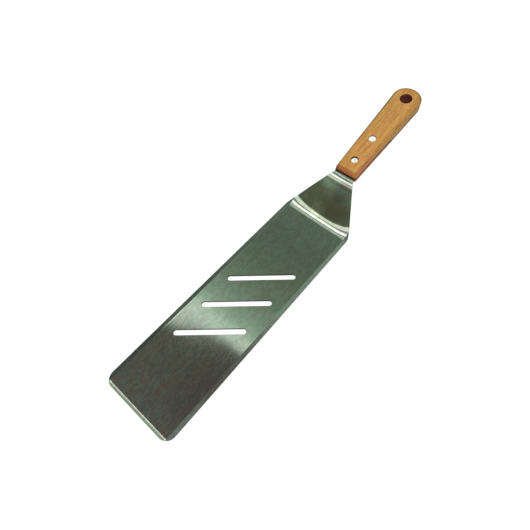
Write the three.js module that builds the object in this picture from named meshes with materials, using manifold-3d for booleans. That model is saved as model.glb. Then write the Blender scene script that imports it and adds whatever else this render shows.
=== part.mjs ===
// Slotted grill spatula: a one-piece stamped stainless blade, cranked up through
// a tapering neck into a half tang, and a one-piece hardwood handle sawn to take
// the tang and held by two two-piece cutlery rivets.
//
// Millimetres. +Z up. The blade's flat underside lies on z = 0, +X runs from the
// blade's front edge towards the handle end, y = 0 is the centreline. The origin
// is the middle of the overall length, on the underside plane.
//
// The blade is drawn with x = 0 at its front edge. The handle and rivets are drawn
// in the handle frame (s, y, n): s runs along the tang from the second bend's apex,
// n is square to the tang, and n = 0 is the tang's top face.

import * as THREE from 'three';
import { mergeVertices } from 'three/addons/utils/BufferGeometryUtils.js';
import Module from 'manifold-3d';

const rad = THREE.MathUtils.degToRad;

// ---------------------------------------------------------------- dimensions
const ORIGIN_X = 199.9;            // blade front edge to the origin

// sheet
const SHEET_T = 1.5;
const BLADE_W = 76.2;              // full width (3 in)
const HALF_W = BLADE_W / 2;
const CORNER_R = 9.0;              // front corners, plan view
const SIDE_EDGE_T = 0.4;           // thickness left at the ground side edges
const FRONT_EDGE_T = 0.62;         // thickness left at the ground front edge
const BEVEL_PLUS_Y = 4.6;          // ground bevel widths
const BEVEL_MINUS_Y = 3.8;
const BEVEL_FRONT = 3.0;

// slots
const SLOT_W = 5.0;
const SLOT_L = 63.5;               // tip to tip
const SLOT_ANGLE = rad(-49.1);     // from +X
const SLOT_X = [84.5, 119.05, 153.55];

// side profile of the sheet's top face: blade, first bend, neck, second bend, tang
const NECK_ANGLE = rad(40.31);     // above the blade
const HANDLE_ANGLE = rad(10.76);   // tang and handle, above the blade
const NECK_L = 46.59;              // apex to apex, along the neck
const APEX1 = [240.08, SHEET_T];   // (x, z) where the blade and neck planes meet
const APEX2 = pointAlong(APEX1, NECK_ANGLE, NECK_L);

// bends: length on each side of the apex, and how far each side runs on
// towards the apex before it turns, as a fraction of that length
const BEND1_BLADE = 4.63;
const BEND1_NECK = 6.67;           // at the centreline
const BEND1_BOW = 4.6;             // extra neck-side length at BEND1_BOW_Y
const BEND1_BOW_Y = 31;            // off the centreline
const BEND1_PULL = [0.825, 0.34];
const BEND2_NECK = 4.74;
const BEND2_TANG = 4.09;
const BEND2_PULL = [0.774, 0.426];

// neck and tang outline
const NECK_HALF1 = 37.58;          // half width at the first apex
const NECK_HALF2 = 12.56;          // half width at the second apex
const SHOULDER_EASE = 3.2;         // half length of the easing from blade to neck
const WAIST_EASE = 2.2;            // half length of the easing from neck to tang
const TANG_INSET = 0.15;           // tang edge inside the handle's side
const TANG_END = 62.0;
const TANG_CORNER = 5.0;

// handle
const HANDLE_T = 14.2;
const NOSE_S = 5.15;               // tip of the front nose
const NOSE_LEAN = 3.15;            // setback of the front faces at the full thickness
const HANDLE_NOSE_HALF = 11.45;    // half width at the nose
const HANDLE_HANG_HALF = 15.1;     // half width at the hang hole
const HANDLE_ROUND = 3.0;          // rounding of the long edges
const HANDLE_TRIM_S = -4;          // the outline starts here, ahead of the nose
const HANG_S = 110.4;
const HANG_D = 12.0;
const HANG_EASE = 0.3;             // eased rim of the hang hole
const SAW_END = 64.0;
const SAW_GAP = 0.15;              // clearance above and below the tang
const HANDLE_SLOPE = (HANDLE_HANG_HALF - HANDLE_NOSE_HALF) / (HANG_S - NOSE_S);
const MID_N = -SHEET_T / 2;        // middle of the tang and of the handle
const TOP_N = MID_N + HANDLE_T / 2;
const BOTTOM_N = MID_N - HANDLE_T / 2;

// rivets; sink is the depth of the head's crown below the wood's face
const RIVETS = [
  { name: 'front', s: 20.94, sink: 0.95 },
  { name: 'rear', s: 51.06, sink: 0.35 },
];
const HEAD_D = 7.1;
const HEAD_RIM_T = 1.1;
const HEAD_DOME = 0.25;
const HEAD_H = HEAD_RIM_T + HEAD_DOME;
const HEAD_CHAMFER = 0.15;         // at the underside of the rim
const TUBE_OD = 5.0;
const TUBE_ID = 3.5;
const TUBE_MOUTH_GAP = 0.25;       // tube mouth to the male head
const TUBE_FLOOR_DROP = 0.2;       // tube floor below the female head's inner face
const SHANK_D = 3.2;
const SHANK_TIP_GAP = 0.8;         // shank tip to the female head
const SHANK_CHAMFER_R = 0.4;
const SHANK_CHAMFER_H = 0.5;
const BORE_D = 5.3;                // through the wood and the tang
const COUNTERBORE_D = 7.5;
const SEAT_GAP = 0.1;              // counterbore floor to the head's underside

// mesh resolution
const ARC_STEPS = 14;              // slot ends and blade corners
const HANDLE_END_STEPS = 36;
const BEND1_STEPS = 14;
const BEND2_STEPS = 12;
const ROUND_SEGMENTS = 24;         // rivets and their bores
const HANG_SEGMENTS = 40;

// ---------------------------------------------------------------- drawing help
function pointAlong([x, z], angle, distance) {
  return [x + distance * Math.cos(angle), z + distance * Math.sin(angle)];
}

const normalTo = (angle) => [-Math.sin(angle), Math.cos(angle)];

function arc(x, y, radius, from, to, steps) {
  return Array.from({ length: steps + 1 }, (_, i) => {
    const angle = from + ((to - from) * i) / steps;
    return [x + radius * Math.cos(angle), y + radius * Math.sin(angle)];
  });
}

const vectors = (points) => points.map(([x, y]) => new THREE.Vector2(x, y));

// outline [[x, y], ...] pulled from z0 to z1
function prism(points, z0, z1) {
  const shape = new THREE.Shape(vectors(points));
  const geometry = new THREE.ExtrudeGeometry(shape, { depth: z1 - z0, bevelEnabled: false });
  return geometry.translate(0, 0, z0);
}

// (radius, height) profile turned round +Z
function turned(profile, segments) {
  return new THREE.LatheGeometry(vectors(profile), segments).rotateX(Math.PI / 2);
}

// upright cylinder at s, from n0 to n1
function cylinder(diameter, s, n0, n1) {
  const radius = diameter / 2;
  return new THREE.CylinderGeometry(radius, radius, n1 - n0, ROUND_SEGMENTS)
    .rotateX(Math.PI / 2)
    .translate(s, 0, (n0 + n1) / 2);
}

const rivetBore = (s) => cylinder(BORE_D, s, -20, 20);

// ---------------------------------------------------------------- boolean help
const wasm = await Module();
wasm.setup();

function solid(geometry) {
  const bare = geometry.clone();
  // these would keep coincident corners from merging
  bare.deleteAttribute('normal');
  bare.deleteAttribute('uv');
  const merged = mergeVertices(bare, 1e-4);
  return new wasm.Manifold(new wasm.Mesh({
    numProp: 3,
    vertProperties: new Float32Array(merged.attributes.position.array),
    triVerts: new Uint32Array(merged.index.array),
  }));
}

function indexedGeometry(positions, indices) {
  const geometry = new THREE.BufferGeometry();
  geometry.setAttribute('position', new THREE.BufferAttribute(new Float32Array(positions), 3));
  geometry.setIndex(indices);
  return geometry;
}

function geometryOf(manifold) {
  const mesh = manifold.getMesh();
  const geometry = indexedGeometry(mesh.vertProperties, Array.from(mesh.triVerts));
  geometry.computeVertexNormals();
  return geometry;
}

// ---------------------------------------------------------------- sheet outline
// half width of the handle's side at s
const handleHalf = (s) => HANDLE_NOSE_HALF + HANDLE_SLOPE * (s - NOSE_S);

// two straight runs meeting at (at, value), eased over +-ease
function eased(run, { at, value, slopes: [before, after], ease }) {
  const past = run - at;
  if (past <= -ease) return value + before * past;
  if (past >= ease) return value + after * past;
  return value + before * past + ((after - before) * (past + ease) ** 2) / (4 * ease);
}

// half width of the blank; run is the length along the side profile from APEX1
function halfWidth(run) {
  const neckSlope = (NECK_HALF2 - NECK_HALF1) / NECK_L;
  if (run < NECK_L / 2) {
    const shoulder = (HALF_W - NECK_HALF1) / neckSlope;
    return eased(run, {
      at: shoulder, value: HALF_W, slopes: [0, neckSlope], ease: SHOULDER_EASE,
    });
  }
  const tangHalf = handleHalf(0) - TANG_INSET;
  const waistS = (NECK_HALF2 - tangHalf) / (HANDLE_SLOPE - neckSlope);
  const width = eased(run, {
    at: NECK_L + waistS,
    value: tangHalf + HANDLE_SLOPE * waistS,
    slopes: [neckSlope, HANDLE_SLOPE],
    ease: WAIST_EASE,
  });
  const intoCorner = run - NECK_L - (TANG_END - TANG_CORNER);
  if (intoCorner <= 0) return width;
  return width - TANG_CORNER + Math.sqrt(Math.max(0, TANG_CORNER ** 2 - intoCorner ** 2));
}

// sheet thickness left by the ground bevels
function thickness(x, y) {
  const bevel = y > 0 ? BEVEL_PLUS_Y : BEVEL_MINUS_Y;
  const bySide = SIDE_EDGE_T + ((SHEET_T - SIDE_EDGE_T) * (HALF_W - Math.abs(y))) / bevel;
  const byFront = FRONT_EDGE_T + ((SHEET_T - FRONT_EDGE_T) * x) / BEVEL_FRONT;
  return Math.max(SIDE_EDGE_T, Math.min(SHEET_T, bySide, byFront));
}

// ---------------------------------------------------------------- sheet profile
// Each row is a function of y that gives the top face's (x, z) point, its upward
// normal, and the run along the profile from APEX1.

const bladeRow = (x) => () => ({
  point: [x, SHEET_T], normal: [0, 1], run: x - APEX1[0],
});

const bend1Neck = (y) => BEND1_NECK + BEND1_BOW * (y / BEND1_BOW_Y) ** 2;

// cubic whose ends leave and arrive along the lines through the corner
function bend(start, corner, end, pull, t) {
  const u = 1 - t;
  const mix = (from, to, fraction) => from.map((v, k) => v + fraction * (to[k] - v));
  const control1 = mix(start, corner, pull[0]);
  const control2 = mix(end, corner, pull[1]);
  const point = [0, 1].map((k) => u ** 3 * start[k] + 3 * t * u ** 2 * control1[k]
    + 3 * t * t * u * control2[k] + t ** 3 * end[k]);
  const [dx, dz] = [0, 1].map((k) => u ** 2 * (control1[k] - start[k])
    + 2 * t * u * (control2[k] - control1[k]) + t * t * (end[k] - control2[k]));
  return { point, normal: normalTo(Math.atan2(dz, dx)) };
}

const bend1Row = (t) => (y) => {
  const neckSide = bend1Neck(y);
  const start = [APEX1[0] - BEND1_BLADE, APEX1[1]];
  const end = pointAlong(APEX1, NECK_ANGLE, neckSide);
  return {
    ...bend(start, APEX1, end, BEND1_PULL, t),
    run: -BEND1_BLADE + (BEND1_BLADE + neckSide) * t,
  };
};

const neckRow = (fraction) => (y) => {
  const start = bend1Neck(y);
  const run = start + (NECK_L - BEND2_NECK - start) * fraction;
  return { point: pointAlong(APEX1, NECK_ANGLE, run), normal: normalTo(NECK_ANGLE), run };
};

const bend2Row = (t) => () => {
  const start = pointAlong(APEX1, NECK_ANGLE, NECK_L - BEND2_NECK);
  const end = pointAlong(APEX2, HANDLE_ANGLE, BEND2_TANG);
  return {
    ...bend(start, APEX2, end, BEND2_PULL, t),
    run: NECK_L - BEND2_NECK + (BEND2_NECK + BEND2_TANG) * t,
  };
};

const tangRow = (s) => () => ({
  point: pointAlong(APEX2, HANDLE_ANGLE, s), normal: normalTo(HANDLE_ANGLE), run: NECK_L + s,
});

const fractions = (steps) => Array.from({ length: steps + 1 }, (_, i) => i / steps);

const ROWS = [
  ...[0, BEVEL_FRONT, 40, 80, 120, 160, 200].map(bladeRow),
  ...fractions(BEND1_STEPS).map(bend1Row),
  ...[0.12, 0.3, 0.5, 0.7, 0.88].map(neckRow),
  ...fractions(BEND2_STEPS).map(bend2Row),
  ...[20, 40].map(tangRow),
  // closer together round the tang's end corners
  ...[TANG_CORNER, 3.2, 1.6, 0.5, 0].map((inset) => tangRow(TANG_END - inset)),
];

// y of each column as a fraction of the half width; the outer pairs hold the bevels
const COLUMNS = [
  -1, -(HALF_W - BEVEL_MINUS_Y) / HALF_W, -0.75, -0.55, -0.35, -0.17,
  0, 0.17, 0.35, 0.55, 0.75, (HALF_W - BEVEL_PLUS_Y) / HALF_W, 1,
];

// ---------------------------------------------------------------- blade
// The row's run depends on y and the half width on the run, so the edge is
// found by repeated substitution.
function rowHalfWidth(row) {
  let half = 20;
  for (let k = 0; k < 40; k++) half = halfWidth(row(half).run);
  return half;
}

function sheetGeometry() {
  const topPoints = [];
  const bottomPoints = [];
  for (const row of ROWS) {
    const half = rowHalfWidth(row);
    for (const column of COLUMNS) {
      const y = column * half;
      const { point: [x, z], normal: [nx, nz] } = row(y);
      const left = thickness(x, y);
      const bottomX = x - SHEET_T * nx;
      const bottomZ = z - SHEET_T * nz;
      bottomPoints.push(bottomX, y, bottomZ);
      topPoints.push(bottomX + left * nx, y, bottomZ + left * nz);
    }
  }

  const lastRow = ROWS.length - 1;
  const lastColumn = COLUMNS.length - 1;
  const top = (i, j) => i * COLUMNS.length + j;
  const bottom = (i, j) => top(ROWS.length + i, j);
  const indices = [];
  const quad = (a, b, c, d) => indices.push(a, b, c, a, c, d);
  const quadOtherWay = (a, b, c, d) => indices.push(a, b, d, b, c, d);
  for (let i = 0; i < lastRow; i++) {
    for (let j = 0; j < lastColumn; j++) {
      // diagonals mirror about the centreline, along the front corners' bevel mitres
      const topQuad = j >= lastColumn / 2 + 0.5 ? quadOtherWay : quad;
      topQuad(top(i, j), top(i + 1, j), top(i + 1, j + 1), top(i, j + 1));
      quadOtherWay(bottom(i, j), bottom(i, j + 1), bottom(i + 1, j + 1), bottom(i + 1, j));
    }
    quad(bottom(i, 0), bottom(i + 1, 0), top(i + 1, 0), top(i, 0));
    quad(
      bottom(i + 1, lastColumn), bottom(i, lastColumn),
      top(i, lastColumn), top(i + 1, lastColumn),
    );
  }
  for (let j = 0; j < lastColumn; j++) {
    quad(bottom(0, j + 1), bottom(0, j), top(0, j), top(0, j + 1));
    quad(bottom(lastRow, j), bottom(lastRow, j + 1), top(lastRow, j + 1), top(lastRow, j));
  }
  return indexedGeometry([...topPoints, ...bottomPoints], indices);
}

function slotOutline(centreX) {
  const reach = (SLOT_L - SLOT_W) / 2;
  return [SLOT_ANGLE, SLOT_ANGLE + Math.PI].flatMap((angle) => arc(
    centreX + reach * Math.cos(angle), reach * Math.sin(angle), SLOT_W / 2,
    angle - Math.PI / 2, angle + Math.PI / 2, ARC_STEPS,
  ));
}

// rounds the front corners and stands clear of the sheet further back
function cornerOutline() {
  const clearX = 60;
  const clearY = 60;
  const endX = 420;
  const cornerY = HALF_W - CORNER_R;
  return [
    ...arc(CORNER_R, cornerY, CORNER_R, Math.PI / 2, Math.PI, ARC_STEPS),
    ...arc(CORNER_R, -cornerY, CORNER_R, Math.PI, 1.5 * Math.PI, ARC_STEPS),
    [clearX, -HALF_W], [clearX, -clearY], [endX, -clearY],
    [endX, clearY], [clearX, clearY], [clearX, HALF_W],
  ];
}

function bladeGeometry() {
  // from the handle frame to the blade's
  const handleMatrix = new THREE.Matrix4().makeRotationY(-HANDLE_ANGLE);
  handleMatrix.setPosition(APEX2[0], 0, APEX2[1]);

  let blade = solid(sheetGeometry()).intersect(solid(prism(cornerOutline(), -10, 90)));
  for (const x of SLOT_X) blade = blade.subtract(solid(prism(slotOutline(x), -2, 4)));
  for (const { s } of RIVETS) {
    blade = blade.subtract(solid(rivetBore(s).applyMatrix4(handleMatrix)));
  }
  return geometryOf(blade);
}

// ---------------------------------------------------------------- handle
// tapered bar with a round end about the hang hole and rounded long edges
function handleBar() {
  const lean = Math.atan(HANDLE_SLOPE);
  const endRadius = HANDLE_HANG_HALF * Math.cos(lean);
  const quarter = Math.PI / 2 + lean;
  const shape = new THREE.Shape(vectors([
    [HANDLE_TRIM_S, -handleHalf(HANDLE_TRIM_S)],
    ...arc(HANG_S, 0, endRadius, -quarter, quarter, HANDLE_END_STEPS),
    [HANDLE_TRIM_S, handleHalf(HANDLE_TRIM_S)],
  ]));
  const geometry = new THREE.ExtrudeGeometry(shape, {
    depth: HANDLE_T - 2 * HANDLE_ROUND,
    bevelEnabled: true,
    bevelThickness: HANDLE_ROUND,
    bevelSize: HANDLE_ROUND,
    bevelOffset: -HANDLE_ROUND,
    bevelSegments: 6,
    steps: 1,
  });
  return geometry.translate(0, 0, BOTTOM_N + HANDLE_ROUND);
}

// everything behind the two leaning front faces, drawn in side view (s, n)
function noseKeep() {
  const overshoot = 1.5;           // carries the faces on past the wood
  const faceS = NOSE_S + NOSE_LEAN * overshoot;
  const low = MID_N - (HANDLE_T / 2) * overshoot;
  const high = MID_N + (HANDLE_T / 2) * overshoot;
  const outline = [[NOSE_S, MID_N], [faceS, low], [140, low], [140, high], [faceS, high]];
  return prism(outline, -40, 40).rotateX(Math.PI / 2);
}

function sawCut() {
  const length = SAW_END + 20;
  return new THREE.BoxGeometry(length, 80, SHEET_T + 2 * SAW_GAP)
    .translate(SAW_END - length / 2, 0, MID_N);
}

function hangHole() {
  const radius = HANG_D / 2;
  const overrun = 2;               // past each face of the wood
  const flare = radius + HANG_EASE + overrun;
  return turned([
    [0, BOTTOM_N - overrun],
    [flare, BOTTOM_N - overrun],
    [radius, BOTTOM_N + HANG_EASE],
    [radius, TOP_N - HANG_EASE],
    [flare, TOP_N + overrun],
    [0, TOP_N + overrun],
  ], HANG_SEGMENTS).translate(HANG_S, 0, 0);
}

function handleGeometry() {
  let handle = solid(handleBar()).intersect(solid(noseKeep()));
  const cuts = [sawCut(), hangHole()];
  for (const { s, sink } of RIVETS) {
    const depth = sink + HEAD_H + SEAT_GAP;
    cuts.push(
      cylinder(COUNTERBORE_D, s, TOP_N - depth, TOP_N + 3),
      cylinder(COUNTERBORE_D, s, BOTTOM_N - 3, BOTTOM_N + depth),
      rivetBore(s),
    );
  }
  for (const cut of cuts) handle = handle.subtract(solid(cut));
  return geometryOf(handle);
}

// ---------------------------------------------------------------- rivets
// domed head's profile from its inner face out to the crown;
// outward is 1 for the upper head, -1 for the lower
function headProfile(crown, outward) {
  const radius = HEAD_D / 2;
  // (radius, distance outward from the rim)
  return [
    [radius - HEAD_CHAMFER, -HEAD_RIM_T],
    [radius, -HEAD_RIM_T + HEAD_CHAMFER],
    [radius, -0.12],
    [radius - 0.22, 0.04],
    [HEAD_D / 3, 0.6 * HEAD_DOME],
    [HEAD_D / 6, 0.9 * HEAD_DOME],
    [0, HEAD_DOME],
  ].map(([r, height]) => [r, crown + outward * (height - HEAD_DOME)]);
}

// head above, shank running down into the female half's tube
function maleRivet(sink) {
  const crown = TOP_N - sink;
  const tip = BOTTOM_N + sink + HEAD_H + SHANK_TIP_GAP;
  return turned([
    [0, tip],
    [SHANK_D / 2 - SHANK_CHAMFER_R, tip],
    [SHANK_D / 2, tip + SHANK_CHAMFER_H],
    [SHANK_D / 2, crown - HEAD_H],
    ...headProfile(crown, 1),
  ], ROUND_SEGMENTS);
}

// head below, tube reaching up to just under the male head
function femaleRivet(sink) {
  const crown = BOTTOM_N + sink;
  const headTop = crown + HEAD_H;
  const mouth = TOP_N - sink - HEAD_H - TUBE_MOUTH_GAP;
  const tubeFloor = headTop - TUBE_FLOOR_DROP;
  return turned([
    ...headProfile(crown, -1).reverse(),
    [TUBE_OD / 2, headTop],
    [TUBE_OD / 2, mouth],
    [TUBE_ID / 2, mouth],
    [TUBE_ID / 2, tubeFloor],
    [0, tubeFloor],
  ], ROUND_SEGMENTS);
}

// ---------------------------------------------------------------- scene graph
const STAINLESS = { color: 0x8b948a, roughness: 0.34, metalness: 1.0 };
const HARDWOOD = { color: 0xc08d52, roughness: 0.55, metalness: 0.0 };
const RIVET_METAL = { color: 0xdfe0dc, roughness: 0.25, metalness: 1.0 };

function add(parent, name, geometry, material) {
  const mesh = new THREE.Mesh(geometry, new THREE.MeshStandardMaterial(material));
  mesh.name = name;
  parent.add(mesh);
}

const spatula = new THREE.Group();
spatula.position.x = -ORIGIN_X;
add(spatula, 'blade', bladeGeometry(), STAINLESS);

const grip = new THREE.Group();
grip.position.set(APEX2[0], 0, APEX2[1]);
grip.rotation.y = -HANDLE_ANGLE;
spatula.add(grip);

add(grip, 'handle', handleGeometry(), HARDWOOD);
for (const { name, s, sink } of RIVETS) {
  add(grip, `${name}_rivet_male`, maleRivet(sink).translate(s, 0, 0), RIVET_METAL);
  add(grip, `${name}_rivet_female`, femaleRivet(sink).translate(s, 0, 0), RIVET_METAL);
}

export default spatula;
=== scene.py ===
"""Grill spatula: the looks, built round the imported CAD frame.

Every piece is drawn in millimetres and stored in metres, in the frame of the CAD
part: +X from the blade's front edge to the handle end, +Z up, blade on z = 0.
"""
import math

import bmesh
import bpy
import numpy as np
from mathutils import Matrix, Vector
from mathutils.geometry import delaunay_2d_cdt


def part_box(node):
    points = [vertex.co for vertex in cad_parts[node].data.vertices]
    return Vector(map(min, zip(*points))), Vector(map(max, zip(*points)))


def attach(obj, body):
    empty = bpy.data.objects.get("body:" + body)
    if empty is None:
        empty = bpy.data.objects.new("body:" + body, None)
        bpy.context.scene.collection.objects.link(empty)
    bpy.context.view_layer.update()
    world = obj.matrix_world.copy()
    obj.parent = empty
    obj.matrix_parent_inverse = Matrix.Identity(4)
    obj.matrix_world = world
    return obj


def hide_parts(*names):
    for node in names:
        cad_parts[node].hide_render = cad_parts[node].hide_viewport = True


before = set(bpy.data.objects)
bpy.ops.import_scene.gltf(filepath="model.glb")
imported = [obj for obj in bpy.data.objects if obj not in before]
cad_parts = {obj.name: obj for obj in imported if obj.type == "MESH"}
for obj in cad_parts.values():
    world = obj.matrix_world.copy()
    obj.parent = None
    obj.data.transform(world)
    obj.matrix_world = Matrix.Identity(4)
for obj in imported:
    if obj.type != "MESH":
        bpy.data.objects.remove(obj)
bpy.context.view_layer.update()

MM = 0.001
X0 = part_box("blade")[0].x / MM          # blade front edge

# ------------------------------------------------------------------ dimensions
T = 1.5                                 # sheet
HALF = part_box("blade")[1].y / MM        # half the blade's width
CORNER = 9.0
EDGE_SIDE, EDGE_FRONT = 0.4, 0.765
BEVEL_L, BEVEL_R, BEVEL_F = 4.6, 3.8, 2.5
SLOT_W, SLOT_L, SLOT_A = 5.0, 63.5, math.radians(-49.1)
SLOT_X = (84.5, 119.05, 153.55)
V1 = np.array([240.08, T])
TH1 = math.radians(40.31)
NECK = 46.59
TH2 = math.radians(10.76)
NECK_HW = (37.58, 12.56)
TANG_END, TANG_CORNER, TANG_INSET = 62.0, 5.0, 0.15
H_T, H_S0, H_NOSE, H_HW0, H_HW1, H_R = 14.2, 5.15, 3.15, 11.45, 15.1, 3.0
HANG_S, HANG_R, HANG_EASE = 110.4, 6.0, 0.3
SAW_END, SAW_GAP, SAW_LOW = 64.0, 0.15, 0.55
RIVETS = ((20.94, 1.3, "front"), (51.06, 0.55, "rear"))
HEAD_R, HEAD_T, HEAD_DOME = 3.42, 1.1, 0.25
TUBE_R, TUBE_IN, SHANK_R, BORE_R, CB_R, SEAT = 2.5, 1.75, 1.6, 2.65, 3.75, 0.1
MID = -T / 2
TOP, BOT = MID + H_T / 2, MID - H_T / 2
U1 = np.array([math.cos(TH1), math.sin(TH1)])
U2 = np.array([math.cos(TH2), math.sin(TH2)])
V2 = V1 + NECK * U1
SLOPE = (H_HW1 - H_HW0) / (HANG_S - H_S0)
LEAN = math.atan(SLOPE)

# handle frame (s, y, n) to the row frame, in metres
GRIP = Matrix((
    (math.cos(TH2), 0, -math.sin(TH2), (V2[0] + X0) * MM),
    (0, 1, 0, 0),
    (math.sin(TH2), 0, math.cos(TH2), V2[1] * MM),
    (0, 0, 0, 1),
))


def hw_handle(s):
    return H_HW0 + SLOPE * (s - H_S0)


# ------------------------------------------------------------------ sheet maps
def eased(l, l0, w0, m1, m2, t):
    d = l - l0
    mid = w0 + m1 * d + (m2 - m1) * (d + t) ** 2 / (4 * t)
    return np.where(d <= -t, w0 + m1 * d, np.where(d >= t, w0 + m2 * d, mid))


def half_width(l):
    l = np.asarray(l, float)
    m = (NECK_HW[1] - NECK_HW[0]) / NECK
    t0 = hw_handle(0) - TANG_INSET
    shoulder = (HALF - NECK_HW[0]) / m
    waist = (NECK_HW[1] - t0) / (SLOPE - m) + NECK
    a = eased(l, shoulder, HALF, 0.0, m, 3.2)
    b = eased(l, waist, t0 + SLOPE * (waist - NECK), m, SLOPE, 2.2)
    back = np.clip(l - NECK - (TANG_END - TANG_CORNER), 0, TANG_CORNER)
    b = b - (TANG_CORNER - np.sqrt(TANG_CORNER**2 - back**2))
    return np.where(l < NECK / 2, a, b)


def soft_min(a, b, k):
    h = np.clip(k - np.abs(a - b), 0, None) / k
    return np.minimum(a, b) - h * h * k / 4


def sheet_height(x, y):
    """Height of the top face above the underside, with the ground edges."""
    side = np.where(y > 0, BEVEL_L, BEVEL_R)
    a = EDGE_SIDE + (T - EDGE_SIDE) * (HALF - np.abs(y)) / side
    b = EDGE_FRONT + (T - EDGE_FRONT) * x / BEVEL_F
    h = soft_min(soft_min(a, b, 0.10), T, 0.12)
    return np.clip(h, EDGE_SIDE * 0.9, T)


# Each bend is pressed in steps, so its slope is given at a row of stations along
# the sheet. The stations bow towards the edges, as the press lines do.
LOOK = np.array([-36, -32, -28, -24, -20, -16, -12, -8, -4, 0, 4, 8, 12, 16, 20, 24, 28, 32, 36], float)
S_IN = np.array([-4.3, -4.05, -3.95, -4.0, -4.05, -4.0, -4.0, -3.95, -3.93, -3.92, -3.93, -3.95, -3.93, -3.83, -3.75, -3.7, -3.5, -3.4, -3.3])
S_HI = np.array([0.4, 0.1, -0.45, -0.65, -0.65, -0.65, -0.7, -0.74, -0.72, -0.68, -0.62, -0.57, -0.5, -0.38, -0.25, -0.1, 0.1, 0.9, 1.4])
S_LO = np.array([2.8, 2.4, 1.8, 1.5, 1.43, 1.4, 1.45, 1.5, 1.5, 1.5, 1.57, 1.68, 1.75, 1.85, 1.95, 2.1, 2.5, 3.05, 3.5])
S_DIP = np.array([4.5, 4.0, 3.0, 2.5, 2.22, 2.05, 2.0, 2.0, 2.0, 2.0, 2.07, 2.15, 2.25, 2.45, 2.7, 3.0, 3.6, 4.7, 5.3])
W_DIP = np.array([1.3, 1.2, 1.0, 0.85, 0.65, 0.6, 0.52, 0.5, 0.5, 0.5, 0.5, 0.52, 0.58, 0.65, 0.75, 0.9, 1.1, 1.4, 1.5])
S_OUT = np.array([11.2, 9.6, 7.55, 6.6, 5.8, 5.3, 5.08, 4.97, 5.0, 5.05, 5.2, 5.45, 5.83, 6.3, 6.95, 7.7, 8.7, 10.4, 12.0])


def stations_1(y):
    a, hi, lo, d, w, f = (np.interp(y, LOOK, v) for v in (S_IN, S_HI, S_LO, S_DIP, W_DIP, S_OUT))
    l = [a - 1.15, a - 0.45, a + 0.05, a + 0.45, hi - 0.75, hi - 0.40, hi - 0.05, lo - 0.25, lo + 0.05,
         d - w / 2, d + w / 2, d + w / 2 + 0.35, f - 0.35, f + 0.15, f + 0.9, f + 2.2]
    turn = [32.5, 27, 15, 12.2, 9.3, -10.5, -13, -20.5, -23.5, -26, -28.8, -31, -38.6, -41, -43.6, -46.2]
    return np.array(l), (32.5 - np.array(turn)) / 78.7 * TH1


def stations_2(y):
    u = 0.6 * (y / 11.5) ** 2
    l = [38.4 + 0 * u, 39.2 + 0 * u, 41.1 + 0.2 * u, 41.85 + 0.2 * u, 42.6 + 0.2 * u, 43.7 + 0.3 * u, 43.9 + 0.4 * u, 44.05 + 0.4 * u, 44.45 + 0.5 * u,
         44.9 + 0.6 * u, 45.85 + 0.6 * u, 46.35 + 0.6 * u, 46.85 + 0.6 * u, 47.65 + 0.4 * u, 49.75 + 0.4 * u, 50.2 + 0.4 * u, 50.9 + 0.4 * u]
    turn = [-40.8, -41.4, -41.4, -40.2, -38.4, -30.3, -28.6, -26.3, -23, -20, -14, -12, -10.2, 9.3, 12.2, 15, 19.7]
    return np.array(l), TH1 + (np.array(turn) + 40.8) / 60.5 * (TH2 - TH1)


GRID_Y = np.arange(-39, 39.01, 0.5)
STEP = 0.02
L1, L2 = np.arange(-9, 18 + STEP / 2, STEP), np.arange(38, 54 + STEP / 2, STEP)
TANG_IN = 68.0                          # from here on the tang lies on the handle's mid plane


def bend_table(stations, ls, start):
    rows, slopes = [], []
    for y in GRID_Y:
        l, tau = stations(np.clip(y, -36, 36))
        t = np.interp(ls, l, tau)
        k = np.ones(9) / 9                      # take the corners off the stations
        t = np.convolve(np.pad(t, 4, mode="edge"), k, mode="valid")
        d = np.c_[np.cos(t), np.sin(t)]
        rows.append(start + np.vstack([[0, 0], np.cumsum((d[1:] + d[:-1]) / 2 * STEP, axis=0)]))
        slopes.append(t)
    return np.array(rows), np.array(slopes)


P1, TAU1 = bend_table(stations_1, L1, V1 + np.array([L1[0], 0]))
P2, TAU2 = bend_table(stations_2, L2, V1 + L2[0] * U1)
OFF1 = P1[:, -1] - (V1 + L1[-1] * U1)           # how far the bend's end stands off the flat neck
OFF2 = P2[:, -1] - (V2 + (L2[-1] - NECK) * U2)


def look_up(table, ls, l, y):
    i = np.clip((l - ls[0]) / STEP, 0, len(ls) - 1.001)
    j = np.clip((y - GRID_Y[0]) / 0.5, 0, len(GRID_Y) - 1.001)
    i0, j0 = i.astype(int), j.astype(int)
    fi, fj = i - i0, j - j0
    if table.ndim == 3:
        fi, fj = fi[:, None], fj[:, None]
    return (table[j0, i0] * (1 - fi) * (1 - fj) + table[j0, i0 + 1] * fi * (1 - fj)
            + table[j0 + 1, i0] * (1 - fi) * fj + table[j0 + 1, i0 + 1] * fi * fj)


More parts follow.
